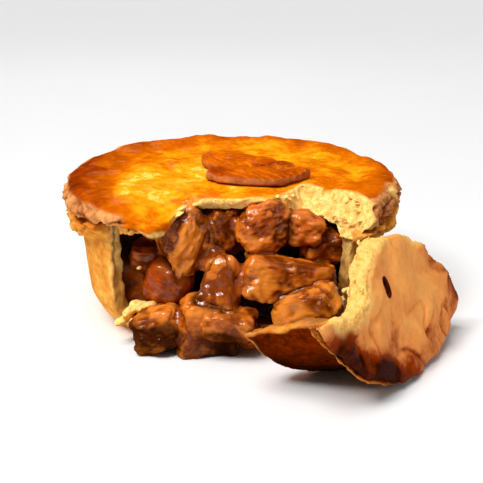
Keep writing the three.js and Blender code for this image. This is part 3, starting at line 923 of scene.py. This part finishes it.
def all_lumps():
    """The corners and faces of all the lumps together, and the lump that each face belongs to."""
    corners, faces, owners = [], [], []
    for node in LUMPS:
        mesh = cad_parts[node].data
        start = len(corners)
        corners += [v.co for v in mesh.vertices]
        faces += [[start + i for i in polygon.vertices] for polygon in mesh.polygons]
        owners += [node] * len(mesh.polygons)
    return corners, faces, owners


def nearness(node, points, reach):
    """1 where a point touches another lump, 0 where none is within reach in millimetres."""
    corners, faces, owners = all_lumps()
    others = [face for face, owner in zip(faces, owners) if owner != node]
    return 1 - smooth(distances(corners, others, points, reach) / reach)


def undercut_shade(points):
    """1 where shade is painted: on the underside of the spilled lumps close to the table and in the hollow
    under the front lump; 0 above it.
    """
    x, y, z = points.T
    spilled = smooth((12.5 - z + 3 * noise(points, 4, 124)) / 3.5) * smooth((-15 - x) / 3)
    hollow = bump((x + 3) / 10) ** 0.5 * smooth((11.5 - z + noise(points, 3, 125)) / 2)
    return np.maximum(0.9 * spilled, hollow) * smooth((-34 - y) / 3)


def pale_slab(points):
    """1 on the smooth pale face at the front of the lowest lump, 0 round about."""
    x, y, z = points.T
    across = bump((x + 3) / 10) ** 0.5
    return across * bump((z - 14.5) / 6) ** 0.5 * smooth((-48 - y) / 2)


def dress_lump(piece, node, seed):
    """Folds, knobs and fibres along a lump's grain; kidney has rounder folds and fewer fibres."""
    look = bpy.context.scene.pie_filling
    lump = LUMPS[node]
    points, _ = places(piece)
    grain = points @ np.array(Euler([math.radians(angle) for angle in lump.turn]).to_matrix())
    kidney = node.startswith("kidney")
    bent = grain + 1.6 * np.stack([noise(points, 5.0, seed + a) for a in (5, 6, 7)], axis=1)
    folds = noise(bent, 6.5 if kidney else (13, 5.2, 5.2), seed)
    knobs = noise(bent, 3.0, seed + 3) + 0.5 * noise(bent, 1.5, seed + 4)
    strands = noise(bent, (7.0, 1.5, 1.5), seed + 2) * (0.4 if kidney else 1.0)
    fine = noise(grain, (1.8, 0.8, 0.8), seed + 9)
    coarse = smooth(0.2 + noise(bent, 5.0, seed + 7) / 0.6)
    height = 1.1 * folds + lump.rough * (0.55 * knobs + 0.35 * strands + (0.12 + 0.25 * coarse) * fine)
    push(piece, look.fold / MM * height + 0.9 * (node == "kidney_left"))
    mark(
        piece,
        # These marks paint light on the crests and shade in the folds, and shade where lumps touch and
        # under the spilled lumps.
        ridge=smooth(0.5 + 0.55 * height),
        light=0.8 * lump.light + 0.5 * pale_slab(points) * (node == "steak_front_low"),
        red=lump.red,
        cleft=np.maximum(nearness(node, points, 2.6), undercut_shade(points)),
    )
    mark_grain(piece, grain * MM)


def clinging_sauce(material):
    """A skin over all the lumps that bridges the narrow clefts between them."""
    look = bpy.context.scene.pie_filling
    corners, faces, owners = all_lumps()
    mesh = bpy.data.meshes.new("sauce")
    mesh.from_pydata(corners, [], faces)
    piece = new_object("clinging_sauce", mesh)
    even_out(piece, (
        ("REMESH", 0.6 * MM), ("SMOOTH", 6), ("DISPLACE", look.cling), ("REMESH", 0.6 * MM), ("SMOOTH", 8),
        ("DISPLACE", -look.cling - look.sink), ("REMESH", 0.5 * MM), ("SMOOTH", 3),
    ))

    points, _ = places(piece)
    tree = BVHTree.FromPolygons([corner / MM for corner in corners], faces)
    nearest = [tree.find_nearest(p) for p in points]
    lumps = [LUMPS[owners[found[2]]] for found in nearest]
    # The cleft mark paints shade deep in the sauce, away from the lumps' faces, and under the spilled
    # lumps.
    cleft = smooth((np.array([found[3] for found in nearest]) - 0.7) / 1.6)
    cleft = np.maximum(cleft, undercut_shade(points))
    beads = 0.4 * noise(points, 3.4, 120) + 0.22 * noise(points, 1.6, 121) + 0.1 * noise(points, 0.8, 122)
    push(piece, beads - 0.5 * cleft)
    mark(
        piece,
        # This mark paints light on the beads and shade between them.
        ridge=0.42 + 0.9 * beads,
        light=0.8 * np.array([lump.light for lump in lumps]),
        red=np.array([lump.red for lump in lumps]),
        cleft=cleft,
    )
    mark_grain(piece, points * MM)
    finish_piece(piece, material)


def dress_gravy(piece):
    """Lumpy where it shows, fuller on the left, and painted dark as shade where it lies deep behind the
    meat.
    """
    points, _ = places(piece)
    x, y, z = points.T
    front = smooth((-10 - y) / 6)
    lumps = 1.3 * noise(points, 6, 110) + 0.6 * ridges(points, 4, 111) + 0.3 * noise(points, 1.8, 112)
    left = smooth((-18 - x) / 6)
    push(piece, (lumps + 2.2 * left) * front)
    high = smooth((z - 20 + 3 * noise(points, 5, 113)) / 8)
    # deep: painted shade behind the meat and high up.
    mark(piece, deep=np.maximum(1 - left, high))


# ---- flakes


def flake(corners, faces, centre, turn, size, draw):
    """Adds one thin curled shard of pastry; size is its reach, its narrowness and its thickness."""
    around = 6
    start = len(corners)
    for z in (-0.5, 0.5):
        for i in range(around):
            angle = 2 * math.pi * i / around
            c, s = math.cos(angle), math.sin(angle)
            reach = size[0] * draw.uniform(0.5, 1.3)
            p = (reach * c, reach * size[1] * s, z * size[2] + 0.25 * size[0] * c ** 2)
            corners.append(tuple((centre + turn @ p) * MM))
    ring = list(range(around))
    faces.append([start + i for i in reversed(ring)])
    faces.append([start + around + i for i in ring])
    for i in ring:
        j = (i + 1) % around
        faces.append([start + i, start + j, start + around + j, start + around + i])


def broken_spots(count, draw):
    """Random places on the broken faces of the crust, with the way up of the layers there."""
    spots = []
    upright = np.array([0.0, 0.0, 1.0])
    picks = (
        ("pie_lid", broken_front("pie_lid"), 0.55, upright),
        ("piece_lid", broken_piece("piece_lid"), 0.35, piece_frame()[2]),
    )
    for node, chosen, share, up in picks:
        centres, normals = faces_of(node)
        chosen = np.flatnonzero(chosen)
        area = np.array([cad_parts[node].data.polygons[i].area for i in chosen])
        for i in draw.choice(chosen, int(count * share), p=area / area.sum()):
            spot = centres[i] + draw.normal(0, 0.6, 3)
            if TONGUE_TO_X < spot[0] < FLAKES_TO_X and spot[2] > FLAKES_FROM_Z:
                spots.append((spot, normals[i], up))
    return spots


def stand_flakes(count):
    """Thin layers of pastry that stand out a little from the broken faces."""
    draw = np.random.default_rng(7)
    corners, faces = [], []
    for centre, normal, up in broken_spots(count, draw):
        turn = Vector(up).to_track_quat("Z", "X").to_matrix()
        for axis in "XY":
            turn = turn @ Matrix.Rotation(draw.uniform(-0.5, 0.5), 3, axis)
        size = (draw.uniform(0.7, 1.6), draw.uniform(0.5, 1.0), draw.uniform(0.25, 0.45))
        sunk = centre - normal * draw.uniform(0.4, 0.9)
        flake(corners, faces, sunk, np.array(turn), size, draw)
    mesh = bpy.data.meshes.new("flakes")
    mesh.from_pydata(corners, [], faces)
    piece = new_object("pastry_flakes", mesh)
    rounding = piece.modifiers.new("Rounding", "SUBSURF")
    rounding.levels = 2
    rounding.render_levels = 2
    rounding.subdivision_type = "SIMPLE"
    keep_modified(piece)
    points, _ = places(piece)
    push(piece, 0.14 * noise(points, 0.9, 132) + 0.1 * noise(points, 0.4, 133))
    return piece


# Torn bits of crust and loose crumbs: places and sizes in millimetres; those that touch melt together
CRUMBS = (
    ((-30.8, -37.2, 13.6), (6.4, 3.8, 4.6)), ((-27.2, -37.8, 14.2), (5.6, 3.2, 2.8)),
    ((-33.8, -36.8, 11.6), (4.6, 3.2, 6.0)), ((-36.0, -36.0, 8.6), (4.0, 2.8, 6.6)),
    ((-30.6, -39.4, 9.4), (6.4, 2.8, 5.6)), ((-30.9, -32.4, 25.2), (2.2, 1.5, 1.6)),
    ((35.6, -41.2, 20.4), (3.4, 2.6, 4.4)), ((34.0, -41.6, 17.2), (3.2, 2.2, 3.4)),
    ((-35.2, -42.2, 41.6), (1.7, 1.2, 4.2)), ((-33.7, -42.6, 40.7), (1.6, 1.1, 3.2)),
    ((-31.9, -43.2, 40.4), (2.0, 1.2, 2.6)), ((-36.4, -41.6, 43.4), (2.4, 1.4, 2.0)),
    ((-30.0, -43.8, 40.6), (1.6, 1.0, 1.8)),
)


def drop_crumbs():
    """An egg-shaped lump for each crumb, melted together and made uneven."""
    form = bmesh.new()
    for index, (place, size) in enumerate(CRUMBS):
        turn = Matrix.Rotation(0.7 * index, 4, "Z") @ Matrix.Rotation(0.4 * index, 4, "X")
        at = Matrix.Translation(Vector(place) * MM) @ turn @ Matrix.Diagonal((*size, 1))
        bmesh.ops.create_icosphere(form, subdivisions=3, radius=0.5 * MM, matrix=at)
    mesh = bpy.data.meshes.new("crumbs")
    form.to_mesh(mesh)
    form.free()
    piece = new_object("pastry_crumbs", mesh)
    even_out(piece, (("REMESH", 0.22 * MM), ("SMOOTH", 6)))
    points, _ = places(piece)
    lumpy = 0.5 * noise(points, (3, 3, 1.6), 130) + 0.16 * noise(points, 0.9, 131)
    push(piece, lumpy - 0.3 * pores(points, 2.2, 134))
    return piece


# ---- operators


class PIE_OT_bake_case(bpy.types.Operator):
    """Bake the pie's wall, floor and lip"""

    bl_idname = "pie.bake_case"
    bl_label = "Bake the case"

    def execute(self, context):
        look = context.scene.pie_crust
        piece = remeshed("pie_case", "crust_case", voxel=0.75, rounds=5)
        dress_case(piece)
        material = pastry_material("baked wall", 0.3, sides=(look.wall, look.wall_dark))
        finish_piece(piece, material, "pie_case")
        return {"FINISHED"}


class PIE_OT_bake_lid(bpy.types.Operator):
    """Bake the glazed lid with its rough rim"""

    bl_idname = "pie.bake_lid"
    bl_label = "Bake the lid"

    def execute(self, context):
        piece = remeshed("pie_lid", "crust_lid", voxel=0.62, rounds=6)
        dress_lid(piece)
        finish_piece(piece, pastry_material("glazed lid", 0.42), "pie_lid")
        return {"FINISHED"}


class PIE_OT_lay_leaves(bpy.types.Operator):
    """Lay the pastry leaves on the lid"""

    bl_idname = "pie.lay_leaves"
    bl_label = "Lay the leaves"

    def execute(self, context):
        material = pastry_material("dark glaze", 0.45)
        for node in LEAVES:
            piece = remeshed(node, "pastry_" + node, voxel=0.36, rounds=5)
            dress_leaf(piece, node)
            finish_piece(piece, material, node)
        return {"FINISHED"}


class PIE_OT_bake_piece(bpy.types.Operator):
    """Bake the piece of crust that came off"""

    bl_idname = "pie.bake_piece"
    bl_label = "Bake the broken-off piece"

    def execute(self, context):
        look = context.scene.pie_crust
        face = remeshed("piece_lid", "broken_crust_face", voxel=0.5, rounds=6)
        dress_piece_lid(face)
        tan = [(a + b) / 2 for a, b in zip(look.side, look.orange)]
        # The darkest stops carry the painted shade of the piece's lower rim and slit.
        stops = [(0.0, look.peach), (0.28, tan), (0.58, look.brown), (1.0, [c * 0.12 for c in look.brown])]
        material = pastry_material("pale glaze", 0.26, stops=stops)
        finish_piece(face, material, "piece_lid")
        wall = remeshed("piece_wall", "broken_crust_wall", voxel=0.5, rounds=5)
        dress_piece_wall(wall)
        material = pastry_material("brown wall", 0.3, sides=(look.wall_brown, look.wall_black))
        finish_piece(wall, material, "piece_wall")
        return {"FINISHED"}


class PIE_OT_pour_gravy(bpy.types.Operator):
    """Fill the pie with gravy behind the lumps"""

    bl_idname = "pie.pour_gravy"
    bl_label = "Pour the gravy"

    def execute(self, context):
        piece = remeshed("gravy_filling", "thick_gravy", voxel=0.9, rounds=6)
        dress_gravy(piece)
        finish_piece(piece, gravy_material(), "gravy_filling")
        return {"FINISHED"}


class PIE_OT_place_meat(bpy.types.Operator):
    """Place the lumps of steak and kidney"""

    bl_idname = "pie.place_meat"
    bl_label = "Place the meat"

    def execute(self, context):
        material = meat_material()
        for index, node in enumerate(LUMPS):
            piece = remeshed(node, "braised_" + node, voxel=0.36, rounds=26)
            dress_lump(piece, node, 200 + 10 * index)
            finish_piece(piece, material, node)
        clinging_sauce(material)
        return {"FINISHED"}


class PIE_OT_scatter_flakes(bpy.types.Operator):
    """Scatter thin flakes of pastry over the broken edges"""

    bl_idname = "pie.scatter_flakes"
    bl_label = "Scatter the flakes"

    def execute(self, context):
        material = pastry_material("flakes", 0.3)
        for piece in (stand_flakes(context.scene.pie_stage.flakes), drop_crumbs()):
            points, normals = places(piece)
            shaded = smooth((0.35 - normals[:, 2] + 0.5 * noise(points, 2.5, 135)) / 0.9)
            mark(piece, bake=0, glaze=0, crumb=1, pit=shaded, fold=0, soak=0)
            finish_piece(piece, material)
        return {"FINISHED"}


class PIE_OT_set_stage(bpy.types.Operator):
    """Set the floor, the lights and the camera"""

    bl_idname = "pie.set_stage"
    bl_label = "Set the stage"

    def execute(self, context):
        look = context.scene.pie_stage
        bpy.ops.mesh.primitive_plane_add(size=8, location=(0, 2, CAD_BOX[0][2] - 0.2 * MM))
        floor = context.object
        floor.name = "floor"
        floor.data.materials.append(plain_material("pale floor", look.floor, 0.7))
        add_light("main_light", "SUN", look.sun, (-0.35, -0.4, 1.025), angle=math.radians(35))
        add_light("lamp", "AREA", look.lamp, (-0.3, -0.35, 0.5), size=0.12)
        add_light("back_light", "AREA", look.back_light, (-0.12, 0.6, 0.42), size=0.14)
        add_light("right_light", "AREA", look.right_light, (0.5, -0.3, 0.25), size=0.3)
        light_world()
        place_camera()
        return {"FINISHED"}


def add_light(name, kind, energy, location, **settings):
    """A light that shines on the pie's middle."""
    data = bpy.data.lights.new(name, kind)
    data.energy = energy
    for key, value in settings.items():
        setattr(data, key, value)
    light = new_object(name, data)
    light.location = location
    light.rotation_euler = (AIM - Vector(location)).to_track_quat("-Z", "Y").to_euler()


def light_world():
    """A room that is bright overhead and dimmer round about."""
    world = bpy.data.worlds.new("studio")
    world.use_nodes = True
    tree = world.node_tree
    coordinates = tree.nodes.new("ShaderNodeTexCoord")
    split = tree.nodes.new("ShaderNodeSeparateXYZ")
    ramp = tree.nodes.new("ShaderNodeValToRGB")
    dim, bright = ramp.color_ramp.elements
    dim.position = 0.3
    dim.color = (0.16, 0.16, 0.16, 1)
    bright.color = (1, 1, 1, 1)
    background = tree.nodes["Background"]
    background.inputs["Strength"].default_value = 0.5
    tree.links.new(coordinates.outputs["Generated"], split.inputs["Vector"])
    tree.links.new(split.outputs["Z"], ramp.inputs["Fac"])
    tree.links.new(ramp.outputs["Color"], background.inputs["Color"])
    bpy.context.scene.world = world
    bpy.context.scene.view_settings.view_transform = "Standard"


def place_camera():
    """The camera stands where the photograph was taken from."""
    data = bpy.data.cameras.new("photo_camera")
    data.sensor_width = SENSOR
    data.lens = FOCAL_PIXELS / PHOTO_SIZE * SENSOR
    data.shift_x = (PHOTO_SIZE / 2 - AIM_PIXEL[0]) / PHOTO_SIZE
    data.shift_y = (AIM_PIXEL[1] - PHOTO_SIZE / 2) / PHOTO_SIZE
    data.clip_start = 0.01
    camera = new_object("photo_camera", data)
    back = Vector((0, -math.cos(CAMERA_ELEVATION), math.sin(CAMERA_ELEVATION)))
    camera.location = AIM + back * CAMERA_DISTANCE
    camera.rotation_euler = (math.pi / 2 - CAMERA_ELEVATION, 0, 0)
    bpy.context.scene.camera = camera


class PIE_PT_sidebar(bpy.types.Panel):
    """Everything that makes the pie"""

    bl_label = "Steak and Kidney Pie"
    bl_idname = "PIE_PT_sidebar"
    bl_space_type = "VIEW_3D"
    bl_region_type = "UI"
    bl_category = "Pie"

    def draw(self, context):
        for operator in OPERATORS:
            self.layout.operator(operator.bl_idname)
        for settings in (context.scene.pie_crust, context.scene.pie_filling, context.scene.pie_stage):
            box = self.layout.box()
            for name in settings.__annotations__:
                box.prop(settings, name)


OPERATORS = (
    PIE_OT_bake_case,
    PIE_OT_bake_lid,
    PIE_OT_lay_leaves,
    PIE_OT_bake_piece,
    PIE_OT_pour_gravy,
    PIE_OT_place_meat,
    PIE_OT_scatter_flakes,
    PIE_OT_set_stage,
)
SETTINGS = {
    "pie_crust": PieCrustSettings,
    "pie_filling": PieFillingSettings,
    "pie_stage": PieStageSettings,
}


def register():
    for item in (*SETTINGS.values(), *OPERATORS, PIE_PT_sidebar):
        bpy.utils.register_class(item)
    for name, item in SETTINGS.items():
        setattr(bpy.types.Scene, name, PointerProperty(type=item))


def unregister():
    for name in SETTINGS:
        delattr(bpy.types.Scene, name)
    for item in reversed((*SETTINGS.values(), *OPERATORS, PIE_PT_sidebar)):
        bpy.utils.unregister_class(item)


def main():
    register()
    bpy.ops.pie.bake_case()
    bpy.ops.pie.bake_lid()
    bpy.ops.pie.lay_leaves()
    bpy.ops.pie.bake_piece()
    bpy.ops.pie.pour_gravy()
    bpy.ops.pie.place_meat()
    bpy.ops.pie.scatter_flakes()
    bpy.ops.pie.set_stage()


if __name__ == "__main__":
    main()
